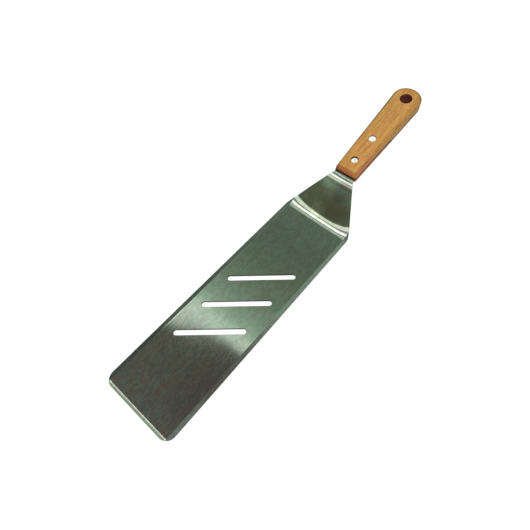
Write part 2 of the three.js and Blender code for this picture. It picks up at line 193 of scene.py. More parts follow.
def bent(l, y, h):
    """Flat blank (l along it, y across, h above the underside) to the bent sheet."""
    l, y, h = (np.asarray(v, float) for v in (l, y, h))
    p = np.zeros((len(l), 2))
    tau = np.zeros(len(l))
    blade = l <= L1[0]
    p[blade] = V1 + np.c_[l, 0 * l][blade]
    one = (l > L1[0]) & (l < L1[-1])
    if one.any():
        p[one] = look_up(P1, L1, l[one], y[one])
        tau[one] = look_up(TAU1, L1, l[one], y[one])
    neck = (l >= L1[-1]) & (l <= L2[0])
    off = look_up(np.repeat(OFF1[:, None], 2, axis=1), np.array([0, STEP]), 0 * l, y)
    fade = np.clip((L2[0] - l) / (L2[0] - L1[-1]), 0, 1)
    p[neck] = (V1 + l[:, None] * U1 + off * fade[:, None])[neck]
    tau[neck] = TH1
    two = (l > L2[0]) & (l < L2[-1])
    off = look_up(np.repeat(OFF2[:, None], 2, axis=1), np.array([0, STEP]), 0 * l, y)
    if two.any():
        p[two] = look_up(P2, L2, l, y)[two]
        tau[two] = look_up(TAU2, L2, l[two], y[two])
    tang = l >= L2[-1]
    fade = np.clip((TANG_IN - l) / (TANG_IN - L2[-1]), 0, 1)
    p[tang] = (V2 + (l[:, None] - NECK) * U2 + off * fade[:, None])[tang]
    tau[tang] = TH2
    q = p + (T - h)[:, None] * np.c_[np.sin(tau), -np.cos(tau)]
    return np.c_[q[:, 0] + X0, y, q[:, 1]]


def bent_normals(l, y, h, n):
    """Normals n of the flat blank, carried through the bend."""
    e = 5e-3
    jx = (bent(l + e, y, h) - bent(l - e, y, h)) / (2 * e)
    jy = (bent(l, y + e, h) - bent(l, y - e, h)) / (2 * e)
    jz = (bent(l, y, h + e) - bent(l, y, h - e)) / (2 * e)
    j = np.stack([jx, jy, jz], axis=2)
    out = np.einsum("nij,nj->ni", np.linalg.inv(j).transpose(0, 2, 1), n)
    return out / np.linalg.norm(out, axis=1)[:, None]


# ------------------------------------------------------------------ mesh help
def inside(pts, loops):
    """Even-odd test of points against closed loops."""
    x, y = pts[:, 0][:, None], pts[:, 1][:, None]
    hit = np.zeros(len(pts), int)
    for loop in loops:
        a, b = loop, np.roll(loop, -1, axis=0)
        for k in range(0, len(a), 400):
            ax, ay, bx, by = a[k:k + 400, 0], a[k:k + 400, 1], b[k:k + 400, 0], b[k:k + 400, 1]
            cross = (ay > y) != (by > y)
            with np.errstate(divide="ignore", invalid="ignore"):
                at = ax + (y - ay) * (bx - ax) / (by - ay)
            hit += (cross & (x < at)).sum(1)
    return hit % 2 == 1


def near(pts, loops, gap):
    """Which points lie closer than gap to a loop's vertices or edges."""
    out = np.zeros(len(pts), bool)
    for loop in loops:
        a, b = loop, np.roll(loop, -1, axis=0)
        for i in range(0, len(pts), 500):
            q = pts[i:i + 500, None, :]
            e = (b - a)[None]
            t = np.clip(((q - a[None]) * e).sum(2) / np.maximum((e * e).sum(2), 1e-12), 0, 1)
            d = np.linalg.norm(q - (a[None] + t[..., None] * e), axis=2).min(1)
            out[i:i + 500] |= d < gap
    return out


def fill(loops, extra):
    """Triangles over the region inside loops[0] and outside the rest.
    Indices run through the loops' points in order, then the extra points."""
    pts = np.vstack(loops + ([extra] if len(extra) else []))
    edges, k = [], 0
    for loop in loops:
        n = len(loop)
        edges += [(k + i, k + (i + 1) % n) for i in range(n)]
        k += n
    res = delaunay_2d_cdt([Vector(p) for p in pts], edges, [], 0, 1e-7, True)
    orig = [o[0] if o else -1 for o in res[3]]
    tris = np.array([[orig[i] for i in f] for f in res[2] if len(f) == 3])
    tris = tris[(tris >= 0).all(1)]
    mid = pts[tris].mean(1)
    tris = tris[inside(mid, loops)]
    a, b, c = pts[tris[:, 0]], pts[tris[:, 1]], pts[tris[:, 2]]
    area = (b[:, 0] - a[:, 0]) * (c[:, 1] - a[:, 1]) - (b[:, 1] - a[:, 1]) * (c[:, 0] - a[:, 0])
    tris[area < 0] = tris[area < 0][:, ::-1]
    return tris[np.abs(area) > 1e-9]


def mesh_object(name, verts, faces, smooth=True):
    me = bpy.data.meshes.new(name)
    me.from_pydata([tuple(float(c) for c in v) for v in verts], [], [tuple(int(i) for i in f) for f in faces])
    me.validate(verbose=False)
    me.update()
    if smooth:
        me.polygons.foreach_set("use_smooth", [True] * len(me.polygons))
    o = bpy.data.objects.new(name, me)
    bpy.context.scene.collection.objects.link(o)
    return o


def loop_normals(loop, outward=1):
    """Outward 2-D normals of a closed counter-clockwise loop."""
    t = np.roll(loop, -1, axis=0) - np.roll(loop, 1, axis=0)
    n = np.c_[t[:, 1], -t[:, 0]]
    return outward * n / np.linalg.norm(n, axis=1)[:, None]


# ------------------------------------------------------------------ blade
def blade_loops():
    right = []                           # lower side, front to tang end
    for i in range(0, 19):               # front corner on -Y, from the front edge to the side
        a = math.pi + (math.pi / 2) * i / 18
        right.append((-V1[0] + CORNER + CORNER * math.cos(a), -(HALF - CORNER) + CORNER * math.sin(a)))
    ls = np.r_[np.arange(-V1[0] + 12, -7.5, 3.0), np.arange(-7, 16, 0.3), np.arange(17, 39, 2.0),
               np.arange(39.5, 53, 0.3), np.arange(54, NECK + TANG_END - TANG_CORNER, 3.0)]
    ls = np.r_[ls, NECK + TANG_END - TANG_CORNER + TANG_CORNER * np.sin(np.radians(np.arange(0, 90, 9)))]
    right += [(l, -float(half_width(l))) for l in ls]
    w_end = float(half_width(NECK + TANG_END - 1e-6))
    end = [(NECK + TANG_END, y) for y in np.linspace(-w_end, w_end, 7)]
    left = [(l, -y) for l, y in reversed(right)]
    front = [(-V1[0], y) for y in np.linspace(HALF - CORNER, -(HALF - CORNER), 24)[1:-1]]
    outer = np.array(right + end + left + front)
    holes = []
    for cx in SLOT_X:
        half = (SLOT_L - SLOT_W) / 2
        u = np.array([math.cos(SLOT_A), math.sin(SLOT_A)])
        v = np.array([-u[1], u[0]])
        c = np.array([cx - V1[0], 0])
        pts = []
        for s in (1, -1):
            for a in np.radians(np.arange(-90, 91, 7.5)):
                pts.append(c + s * half * u + s * SLOT_W / 2 * (math.cos(a) * u + math.sin(a) * v))
            for k in np.linspace(0, 1, 16)[1:-1]:
                pts.append(c + s * (1 - 2 * k) * half * u + s * SLOT_W / 2 * v)
        holes.append(np.array(pts))
    for s, _, _ in RIVETS:
        a = np.radians(np.arange(0, 360, 10))
        holes.append(np.c_[NECK + s + BORE_R * np.cos(a), BORE_R * np.sin(a)])
    return outer, holes


def make_blade():
    outer, holes = blade_loops()
    radius, steps = 0.13, 3
    loops, normals, cursor = [outer] + holes, [], 0
    for k, loop in enumerate(loops):
        n = loop_normals(loop)
        normals.append(n if k == 0 else -n)     # away from the steel
    # orientation: make sure the outer normals point out, the hole normals in
    for k, (loop, n) in enumerate(zip(loops, normals)):
        test = inside(loop[:1] + 0.05 * n[:1], loops)
        if test[0]:
            normals[k] = -n
    th = [math.pi / 2 * i / steps for i in range(steps + 1)]
    P, N = [], []
    rings = []                                   # rings[loop][level] -> first index, count

    def push(l, y, h, n):
        P.append(bent(l, y, h))
        N.append(bent_normals(l, y, h, n))
        return len(l)

    for loop, n in zip(loops, normals):
        levels = []
        hh = lambda q: sheet_height(q[:, 0] + V1[0], q[:, 1])
        for top in (True, False):
            for t in (reversed(th) if top else th):
                q = loop - radius * (1 - math.cos(t)) * n
                z = hh(loop) - radius * (1 - math.sin(t)) if top else np.full(len(q), radius * (1 - math.sin(t)))
                if top and t == th[-1]:
                    z = hh(q)
                up = math.sin(t) if top else -math.sin(t)
                nn = np.c_[math.cos(t) * n, np.full(len(q), up)]
                levels.append((cursor, len(q), q))
                cursor += push(q[:, 0], q[:, 1], z, nn)
        rings.append(levels)
    # points inside: bands along the ground edges' inner lines, rows through the bends, a coarse net elsewhere
    def bands(side, inner):
        return [(l, side * (inner + o)) for l in np.arange(-V1[0] + 1, 12, 2.2) for o in (-0.75, -0.45, -0.2, 0, 0.2, 0.45, 0.75)]
    pts = bands(1, HALF - BEVEL_L) + bands(-1, HALF - BEVEL_R)
    pts += [(-V1[0] + BEVEL_F + o, y) for y in np.arange(-33, 33.1, 2.2) for o in (-0.6, -0.35, -0.15, 0, 0.15, 0.35, 0.6)]
    for stations, ys, lo, hi in ((stations_1, np.arange(-37, 37.1, 1.0), 1.0, 3.0), (stations_2, np.arange(-14, 14.1, 1.0), 1.0, 1.0)):
        for y in ys:
            l = stations(np.clip(y, -36, 36))[0]
            at = [l[0] - 0.6 * lo, l[0] - 0.25]
            for a, b in zip(l[:-1], l[1:]):
                n = 5 if b - a > 1.5 else 4 if b - a > 0.9 else 2
                at += [a + (b - a) * k / n for k in range(n)]
            at += [l[-1], l[-1] + 0.3, l[-1] + 0.9]
            pts += [(v, y) for v in at]
    pts += [(l, y) for l in np.arange(-V1[0] + 8, -6, 6.0) for y in np.arange(-30, 30.1, 6.0)]
    pts += [(l, y) for l in np.arange(16, 40, 3.0) for y in np.arange(-32, 32.1, 4.0)]
    pts += [(l, y) for l in np.arange(54.5, NECK + TANG_END, 3.0) for y in np.arange(-10, 10.1, 5.0)]
    pts = np.unique(np.round(np.array(pts), 5), axis=0)
    bound = [lv[0][2] for lv in rings]
    pts = pts[inside(pts, bound)]
    pts = pts[~near(pts, bound, 0.22)]
    first = cursor
    hgt = sheet_height(pts[:, 0] + V1[0], pts[:, 1])
    e = 1e-3
    gx = (sheet_height(pts[:, 0] + V1[0] + e, pts[:, 1]) - sheet_height(pts[:, 0] + V1[0] - e, pts[:, 1])) / (2 * e)
    gy = (sheet_height(pts[:, 0] + V1[0], pts[:, 1] + e) - sheet_height(pts[:, 0] + V1[0], pts[:, 1] - e)) / (2 * e)
    cursor += push(pts[:, 0], pts[:, 1], hgt, np.c_[-gx, -gy, np.ones(len(pts))])
    low = cursor
    cursor += push(pts[:, 0], pts[:, 1], 0 * hgt, np.c_[0 * gx, 0 * gy, -np.ones(len(pts))])
    # the ring where the top face meets its rounded rim leans with the ground edge
    for (start, count, q) in [lv[0] for lv in rings]:
        gx = (sheet_height(q[:, 0] + V1[0] + e, q[:, 1]) - sheet_height(q[:, 0] + V1[0] - e, q[:, 1])) / (2 * e)
        gy = (sheet_height(q[:, 0] + V1[0], q[:, 1] + e) - sheet_height(q[:, 0] + V1[0], q[:, 1] - e)) / (2 * e)
        k = [i for i, c in enumerate(np.cumsum([len(p) for p in P])) if c > start][0]
        N[k] = bent_normals(q[:, 0], q[:, 1], sheet_height(q[:, 0] + V1[0], q[:, 1]), np.c_[-gx, -gy, np.ones(len(q))])
    P, N = np.vstack(P), np.vstack(N)
    tris = fill(bound, pts)
    idx_top = np.concatenate([np.arange(lv[0][0], lv[0][0] + lv[0][1]) for lv in rings] + [np.arange(first, first + len(pts))])
    idx_low = np.concatenate([np.arange(lv[-1][0], lv[-1][0] + lv[-1][1]) for lv in rings] + [np.arange(low, low + len(pts))])
    faces = [tuple(idx_top[t]) for t in tris] + [tuple(idx_low[t][::-1]) for t in tris]
    for k, levels in enumerate(rings):
        for a, b in zip(levels[:-1], levels[1:]):
            n = a[1]
            for i in range(n):
                j = (i + 1) % n
                q = (a[0] + i, b[0] + i, b[0] + j, a[0] + j)
                va, vb, vc = P[q[0]], P[q[1]], P[q[2]]
                flip = np.dot(np.cross(vb - va, vc - va), N[q[0]] + N[q[1]] + N[q[2]]) < 0
                faces.append(q[::-1] if flip else q)
    o = mesh_object("blade_sheet", P * MM, faces)
    o.data.normals_split_custom_set_from_vertices([tuple(float(c) for c in v) for v in N])
    return o


# ------------------------------------------------------------------ handle
def handle_path():
    """Half of the side walk: (s or None, angle or None) from the -Y nose round the end to the +Y nose."""
    s = [("line", v) for v in list(np.arange(12, 64, 4.0)) + [SAW_END] + list(np.arange(68, 109, 4.0))]
    arc = [("arc", a) for a in np.linspace(-math.pi / 2 - LEAN, math.pi / 2 + LEAN, 49)]
    return [("nose", 0)] + s + arc + [(k, v) for k, v in reversed(s)] + [("nose", 0)], len(s) + 1 + len(arc) // 2


def path_points(n, inset):
    """Plan points of the side at height n, drawn in by inset, with 2-D normals."""
    items, middle = handle_path()
    r = H_HW1 * math.cos(LEAN) - inset
    out, nor = [], []
    for i, (kind, v) in enumerate(items):
        side = -1 if i <= middle else 1
        if kind == "arc":
            # the sanded end is a touch fuller than a true arc, most of all towards +Y
            full = 0.62 * max(math.cos(v), 0.0) ** 0.6 + 0.42 * math.exp(-((v - 0.95) / 0.38) ** 2) + 0.12 * math.exp(-((v + 1.05) / 0.3) ** 2)
            out.append((HANG_S + (r + full) * math.cos(v), (r + full) * math.sin(v)))
            nor.append((math.cos(v), math.sin(v)))
        else:
            s = H_S0 + H_NOSE * abs(n - MID) / (H_T / 2) if kind == "nose" else v
            out.append((s, side * (hw_handle(s) - inset / math.cos(LEAN))))
            nor.append((-math.sin(LEAN), side * math.cos(LEAN)))
    return np.array(out), np.array(nor), items


def baked(o, name):
    """A new object whose mesh has o's modifiers applied; o is removed."""
    dg = bpy.context.evaluated_depsgraph_get()
    done = bpy.data.meshes.new_from_object(o.evaluated_get(dg), preserve_all_data_layers=True, depsgraph=dg)
    done.name = name
    out = bpy.data.objects.new(name, done)
    bpy.context.scene.collection.objects.link(out)
    old = o.data
    bpy.data.objects.remove(o)
    bpy.data.meshes.remove(old)
    return out


def make_handle():
    up = []
    K = 9
    for i in range(K + 1):
        t = math.pi / 2 * (1 - i / K)
        up.append((TOP - H_R * (1 - math.sin(t)), H_R * (1 - math.cos(t))))
    slot_hi, slot_lo = MID + T / 2 + SAW_GAP, MID - T / 2 - SAW_LOW
    up += [(1.75, 0.0), (slot_hi, 0.0)]
    down = [(2 * MID - n, d) for n, d in reversed(up)]
    levels = up + [(slot_lo, 0.0)] + down[1:]
    gap = len(up) - 1                     # between this level and the next is the saw cut
    verts, faces = [], []
    rows = []
    items = None
    for n, d in levels:
        p, _, items = path_points(n, d)
        rows.append(list(range(len(verts), len(verts) + len(p))))
        verts += [(s, y, n) for s, y in p]
    cols = len(rows[0])
    saw_cols = [i for i, (k, v) in enumerate(items) if k == "line" and v == SAW_END]
    cs, ce = saw_cols
    for i in range(len(levels) - 1):
        for j in range(cols - 1):
            if i == gap and (j < cs or j >= ce):
                continue
            faces.append((rows[i][j], rows[i + 1][j], rows[i + 1][j + 1], rows[i][j + 1]))
    # leaning front faces
    M = 12
    front = []
    for i, (n, d) in enumerate(levels):
        a, b = np.array(verts[rows[i][0]]), np.array(verts[rows[i][-1]])
        ids = [rows[i][0]]
        for k in range(1, M):
            ids.append(len(verts))
            verts.append(tuple(a + (b - a) * k / M))
        front.append(ids + [rows[i][-1]])
    for i in range(len(levels) - 1):
        if i == gap:
            continue
        for k in range(M):
            faces.append((front[i][k], front[i][k + 1], front[i + 1][k + 1], front[i + 1][k]))

    def ring(s, r, n, count):
        a = np.arange(count) * 2 * math.pi / count
        ids = list(range(len(verts), len(verts) + count))
        verts.extend([(s + r * math.cos(t), r * math.sin(t), n) for t in a])
        return ids

    def strip(a, b):
        for i in range(len(a)):
            j = (i + 1) % len(a)
            faces.append((a[i], b[i], b[j], a[j]))

    def sheet(loops_ids, net):
        loops = [np.array([verts[i][:2] for i in ids]) for ids in loops_ids]
        n = verts[loops_ids[0][0]][2]
        net = net[inside(net, loops)]
        net = net[~near(net, loops, 0.5)]
        base = len(verts)
        verts.extend([(s, y, n) for s, y in net])
        flat = [i for ids in loops_ids for i in ids] + list(range(base, base + len(net)))
        for t in fill(loops, net):
            faces.append(tuple(flat[i] for i in t))

    net = np.array([(s, y) for s in np.arange(9, 124, 3.5) for y in np.arange(-14, 14.1, 3.5)])
    hang = [ring(HANG_S, HANG_R + HANG_EASE, TOP, 64), ring(HANG_S, HANG_R, TOP - HANG_EASE, 64),
            ring(HANG_S, HANG_R, MID, 64), ring(HANG_S, HANG_R, BOT + HANG_EASE, 64), ring(HANG_S, HANG_R + HANG_EASE, BOT, 64)]
    for a, b in zip(hang[:-1], hang[1:]):
        strip(a, b)
    tops, lows, mids_hi, mids_lo = [], [], [], []
    for s, sink, _ in RIVETS:
        floor = sink + HEAD_T + HEAD_DOME + SEAT
        for z0, zf, zs, rim, slot in ((TOP, TOP - floor, slot_hi, tops, mids_hi), (BOT, BOT + floor, slot_lo, lows, mids_lo)):
            a, b, c, d = ring(s, CB_R, z0, 48), ring(s, CB_R, zf, 48), ring(s, BORE_R, zf, 48), ring(s, BORE_R, zs, 48)
            strip(a, b), strip(b, c), strip(c, d)
            rim.append(a)
            slot.append(d)
    for i, rims, h in ((0, tops, hang[0]), (len(levels) - 1, lows, hang[-1])):
        sheet([rows[i] + front[i][-2:0:-1], h] + rims, net)
    # saw cut: two faces and its end wall
    walls = {}
    for i, slot in ((gap, mids_hi), (gap + 1, mids_lo)):
        n = levels[i][0]
        a, b = rows[i][cs], rows[i][ce]
        end = [a]
        for k in range(1, 10):
            end.append(len(verts))
            va, vb = np.array(verts[a]), np.array(verts[b])
            verts.append(tuple(va + (vb - va) * k / 10))
        end.append(b)
        walls[i] = end
        loop = rows[i][:cs + 1] + end[1:-1] + rows[i][ce:] + front[i][-2:0:-1]
        sheet([loop] + slot, np.array([(s, y) for s in np.arange(8, 62, 5.0) for y in np.arange(-10, 10.1, 5.0)]))
    for k in range(10):
        faces.append((walls[gap][k], walls[gap][k + 1], walls[gap + 1][k + 1], walls[gap + 1][k]))
    me = bpy.data.meshes.new("grip_raw")
    me.from_pydata([tuple(c * MM for c in v) for v in verts], [], faces)
    bm = bmesh.new()
    bm.from_mesh(me)
    bmesh.ops.remove_doubles(bm, verts=bm.verts, dist=2e-6)
    bmesh.ops.recalc_face_normals(bm, faces=bm.faces)
    bm.to_mesh(me)
    bm.free()
    me.polygons.foreach_set("use_smooth", [True] * len(me.polygons))
    o = bpy.data.objects.new("grip_raw", me)
    bpy.context.scene.collection.objects.link(o)
    bev = o.modifiers.new("ease", "BEVEL")
    bev.width = 0.32 * MM
    bev.segments = 3
    bev.limit_method = "ANGLE"
    bev.angle_limit = math.radians(38)
    bev.use_clamp_overlap = True
    bev.harden_normals = False
    eased = baked(o, "grip_eased")
    # where the easing ran out of room it leaves slivers with no area
    bm = bmesh.new()
    bm.from_mesh(eased.data)
    bmesh.ops.remove_doubles(bm, verts=bm.verts, dist=1.5e-6)
    bmesh.ops.dissolve_degenerate(bm, dist=1.0e-6, edges=bm.edges)
    bmesh.ops.recalc_face_normals(bm, faces=bm.faces)
    bm.to_mesh(eased.data)
    bm.free()
    wn = eased.modifiers.new("normals", "WEIGHTED_NORMAL")
    wn.keep_sharp = False
    wn.weight = 60
    out = baked(eased, "grip_wood")
    out.matrix_world = GRIP
    return out


# ------------------------------------------------------------------ rivets
def turned(name, profile, s, segments=72):
    """Solid of revolution about n from a closed (r, n) profile that starts and ends on the axis."""
    verts, faces, rings = [], [], []
    for r, n in profile:
        if r < 1e-6:
            rings.append([len(verts)])
            verts.append((s, 0, n))
        else:
            ids = list(range(len(verts), len(verts) + segments))
            verts += [(s + r * math.cos(2 * math.pi * k / segments), r * math.sin(2 * math.pi * k / segments), n) for k in range(segments)]
            rings.append(ids)
    for a, b in zip(rings[:-1], rings[1:]):
        for k in range(segments):
            j = (k + 1) % segments
            if len(a) == 1:
                faces.append((a[0], b[j], b[k]))
            elif len(b) == 1:
                faces.append((a[k], a[j], b[0]))
            else:
                faces.append((a[k], a[j], b[j], b[k]))
    me = bpy.data.meshes.new(name)
    me.from_pydata([tuple(c * MM for c in v) for v in verts], [], faces)
    bm = bmesh.new()
    bm.from_mesh(me)
    bmesh.ops.recalc_face_normals(bm, faces=bm.faces)
    bm.to_mesh(me)
    bm.free()
    me.polygons.foreach_set("use_smooth", [True] * len(me.polygons))
    me.set_sharp_from_angle(angle=math.radians(35))
    o = bpy.data.objects.new(name, me)
    bpy.context.scene.collection.objects.link(o)
    o.matrix_world = GRIP
    return o


def head_profile(crown, sign, rim):
    """Domed head from the axis out to the shank side of its rim. sign -1 hangs below its crown."""
    pts = [(0, crown)]
    for k in range(1, 11):                       # shallow dome
        r = (rim - 0.30) * k / 10
        pts.append((r, crown + sign * HEAD_DOME * 0.75 * (r / (rim - 0.30)) ** 2.2))
    z = pts[-1][1]
    for a in (22, 45, 68, 90):                   # rounded rim
        pts.append((rim - 0.30 + 0.30 * math.sin(math.radians(a)), z + sign * 0.30 * (1 - math.cos(math.radians(a)))))
    under = crown + sign * (HEAD_DOME + HEAD_T)
    pts += [(rim, under - sign * 0.12), (rim - 0.12, under)]
    return pts, under


def make_rivets():
    made = []
    for s, sink, place in RIVETS:
        rim = HEAD_R + (0.20 if place == "rear" else 0.0)
        head, under = head_profile(TOP - sink, -1, rim)
        tip = BOT + sink + HEAD_DOME + HEAD_T + 0.8
        male = head + [(SHANK_R + 0.12, under), (SHANK_R, under - 0.12), (SHANK_R, tip + 0.45), (SHANK_R - 0.35, tip), (0, tip)]
        made.append((turned(f"{place}_rivet_stud", male, s), f"{place}_rivet_male"))
        head, under = head_profile(BOT + sink, 1, rim)
        mouth = TOP - sink - HEAD_DOME - HEAD_T - 0.25
        female = head + [(TUBE_R + 0.12, under), (TUBE_R, under + 0.12), (TUBE_R, mouth - 0.1), (TUBE_R - 0.1, mouth),
                         (TUBE_IN + 0.12, mouth), (TUBE_IN, mouth - 0.12), (TUBE_IN, under - 0.2), (0, under - 0.2)]
        made.append((turned(f"{place}_rivet_tube", female, s), f"{place}_rivet_female"))
    return made


# ------------------------------------------------------------------ node help
class Nodes:
    def __init__(self, tree):
        self.t = tree

    def new(self, kind, **values):
        n = self.t.nodes.new(kind)
        for k, v in values.items():
            setattr(n, k, v)
        return n

    def put(self, socket, value):
        if isinstance(value, bpy.types.NodeSocket):
            self.t.links.new(value, socket)
        elif value is not None:
            socket.default_value = value

    def math(self, op, a, b=None, c=None, clamp=False):
        n = self.new("ShaderNodeMath", operation=op, use_clamp=clamp)
        for s, v in zip(n.inputs, (a, b, c)):
            self.put(s, v)
        return n.outputs[0]

    def vec(self, x, y, z):
        n = self.new("ShaderNodeCombineXYZ")
        for s, v in zip(n.inputs, (x, y, z)):
            self.put(s, v)
        return n.outputs[0]

    def split(self, v):
        n = self.new("ShaderNodeSeparateXYZ")
        self.put(n.inputs[0], v)
        return n.outputs

    def noise(self, v, scale=1.0, detail=2.0, rough=0.5, distortion=0.0):
        n = self.new("ShaderNodeTexNoise", noise_dimensions="3D")
        self.put(n.inputs["Vector"], v)
        self.put(n.inputs["Scale"], scale)
        self.put(n.inputs["Detail"], detail)
        self.put(n.inputs["Roughness"], rough)
        self.put(n.inputs["Distortion"], distortion)
        return n.outputs["Fac"]

    def ramp(self, fac, stops, mode="LINEAR"):
        n = self.new("ShaderNodeValToRGB")
        n.color_ramp.interpolation = mode
        el = n.color_ramp.elements
        while len(el) > 1:
            el.remove(el[-1])
        for k, (p, c) in enumerate(stops):
            c = (c, c, c) if isinstance(c, (int, float)) else c
            e = el[0] if k == 0 else el.new(p)
            e.position = p
            e.color = (*c[:3], 1)
        self.put(n.inputs[0], fac)
        return n.outputs[0]

    def smooth(self, v, lo, hi, a=0.0, b=1.0):
        n = self.new("ShaderNodeMapRange", interpolation_type="SMOOTHSTEP", clamp=True)
        for k, val in zip(("Value", "From Min", "From Max", "To Min", "To Max"), (v, lo, hi, a, b)):
            self.put(n.inputs[k], val)
        return n.outputs[0]

    def linear(self, v, lo, hi, a=0.0, b=1.0):
        n = self.new("ShaderNodeMapRange", interpolation_type="LINEAR", clamp=True)
        for k, val in zip(("Value", "From Min", "From Max", "To Min", "To Max"), (v, lo, hi, a, b)):
            self.put(n.inputs[k], val)
        return n.outputs[0]

    def mix(self, fac, a, b, blend="MIX"):
        n = self.new("ShaderNodeMix", data_type="RGBA", blend_type=blend)
        self.put(n.inputs[0], fac)
        self.put(n.inputs[6], a if isinstance(a, bpy.types.NodeSocket) else (*a, 1))
        self.put(n.inputs[7], b if isinstance(b, bpy.types.NodeSocket) else (*b, 1))
        return n.outputs[2]

    def scale_colour(self, c, k):
        n = self.new("ShaderNodeVectorMath", operation="SCALE")
        self.put(n.inputs[0], c)
        self.put(n.inputs["Scale"], k)
        return n.outputs[0]


def lin(r, g, b, k=1.0):
    f = lambda v: (v / 255 / 12.92) if v <= 10.3 else ((v / 255 + 0.055) / 1.055) ** 2.4
    return (f(r) * k, f(g) * k, f(b) * k)


def material(name):
    m = bpy.data.materials.new(name)
    m.use_nodes = True
    m.node_tree.nodes.clear()
    n = Nodes(m.node_tree)
    out = n.new("ShaderNodeOutputMaterial")
    bsdf = n.new("ShaderNodeBsdfPrincipled")
    m.node_tree.links.new(bsdf.outputs[0], out.inputs[0])
    co = n.new("ShaderNodeTexCoord").outputs["Object"]
    return m, n, bsdf, co


